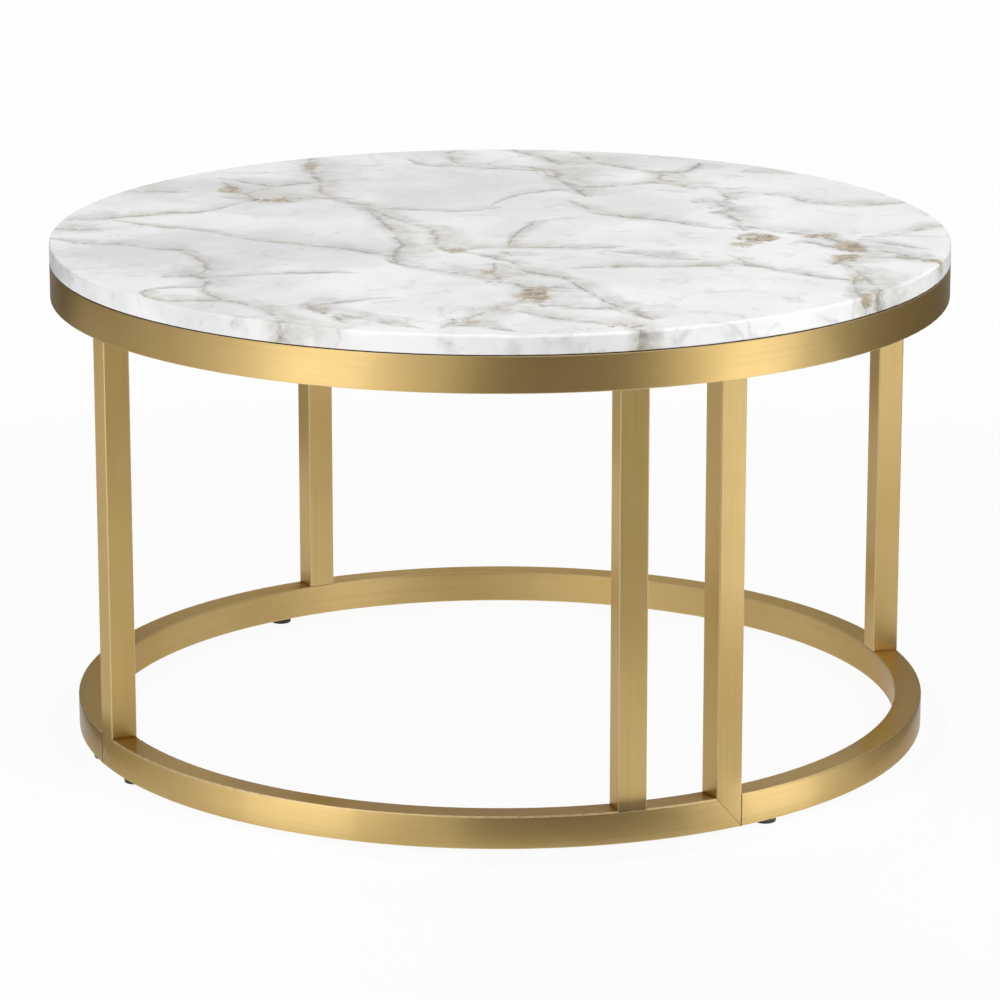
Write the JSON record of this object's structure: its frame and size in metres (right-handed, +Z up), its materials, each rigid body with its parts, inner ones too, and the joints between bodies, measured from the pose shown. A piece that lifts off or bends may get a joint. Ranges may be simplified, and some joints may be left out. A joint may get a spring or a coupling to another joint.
{
  "type": "round cocktail table",
  "caption": "Low round table with a veined marble slab on a satin brass band, slim tube legs and a base ring of bent tube on levelling glides.",
  "frame": {"origin": "on the floor at the table's axis, under the glides", "axes": "+Z up, -Y the front as pictured, +X to the right seen from the front"},
  "size_m": [0.9139, 0.914, 0.514],
  "materials": {
    "marble": "polished white marble with grey and gold-brown veins",
    "satin_brass": "steel tube and bar plated in satin brass",
    "black_steel": "matt black",
    "plywood": "bare plywood",
    "zinc_steel": "zinc plated",
    "black_nylon": "black moulded nylon"
  },
  "bodies": {
    "table": {"marble_top": "marble", "backer_board": "plywood", "support_ring": "black_steel", "top_band": "satin_brass", "leg_left": "satin_brass", "leg_front_corner": "satin_brass", "leg_front_inner": "satin_brass", "leg_right": "satin_brass", "leg_rear": "satin_brass", "front_ring_arc": "satin_brass", "rear_ring_arc": "satin_brass", "top_screws": "zinc_steel", "top_washers": "zinc_steel", "top_inserts": "zinc_steel", "glide_nuts": "zinc_steel"},
    "pad_left_front": {"glide_pad_left_front": "black_nylon"},
    "stud_left_front": {"glide_stud_left_front": "zinc_steel"},
    "pad_left_rear": {"glide_pad_left_rear": "black_nylon"},
    "stud_left_rear": {"glide_stud_left_rear": "zinc_steel"},
    "pad_front": {"glide_pad_front": "black_nylon"},
    "stud_front": {"glide_stud_front": "zinc_steel"},
    "pad_right": {"glide_pad_right": "black_nylon"},
    "stud_right": {"glide_stud_right": "zinc_steel"},
    "pad_rear": {"glide_pad_rear": "black_nylon"},
    "stud_rear": {"glide_stud_rear": "zinc_steel"}
  },
  "joints": [
    {"name": "glide_left_front_height", "type": "slide", "parent": "table", "child": "pad_left_front", "axis": [0, 0, -1], "range_m": [0, 0.008]},
    {"name": "glide_left_front_turn", "type": "hinge", "parent": "pad_left_front", "child": "stud_left_front", "pos_m": [-0.36495, -0.21583, 0.01], "axis": [0, 0, -1], "range_deg": [0, 2304]},
    {"name": "glide_left_rear_height", "type": "slide", "parent": "table", "child": "pad_left_rear", "axis": [0, 0, -1], "range_m": [0, 0.008]},
    {"name": "glide_left_rear_turn", "type": "hinge", "parent": "pad_left_rear", "child": "stud_left_rear", "pos_m": [-0.40138, -0.13664, 0.01], "axis": [0, 0, -1], "range_deg": [0, 2304]},
    {"name": "glide_front_height", "type": "slide", "parent": "table", "child": "pad_front", "axis": [0, 0, -1], "range_m": [0, 0.008]},
    {"name": "glide_front_turn", "type": "hinge", "parent": "pad_front", "child": "stud_front", "pos_m": [0.25841, -0.33616, 0.01], "axis": [0, 0, -1], "range_deg": [0, 2304]},
    {"name": "glide_right_height", "type": "slide", "parent": "table", "child": "pad_right", "axis": [0, 0, -1], "range_m": [0, 0.008]},
    {"name": "glide_right_turn", "type": "hinge", "parent": "pad_right", "child": "stud_right", "pos_m": [0.42374, 0.0148, 0.01], "axis": [0, 0, -1], "range_deg": [0, 2304]},
    {"name": "glide_rear_height", "type": "slide", "parent": "table", "child": "pad_rear", "axis": [0, 0, -1], "range_m": [0, 0.008]},
    {"name": "glide_rear_turn", "type": "hinge", "parent": "pad_rear", "child": "stud_rear", "pos_m": [-0.24441, 0.34647, 0.01], "axis": [0, 0, -1], "range_deg": [0, 2304]}
  ],
  "couplings": [
    {"joint": "glide_left_front_turn", "follows": "glide_left_front_height", "rad_per_m": 5026.5},
    {"joint": "glide_left_rear_turn", "follows": "glide_left_rear_height", "rad_per_m": 5026.5},
    {"joint": "glide_front_turn", "follows": "glide_front_height", "rad_per_m": 5026.5},
    {"joint": "glide_right_turn", "follows": "glide_right_height", "rad_per_m": 5026.5},
    {"joint": "glide_rear_turn", "follows": "glide_rear_height", "rad_per_m": 5026.5}
  ]
}
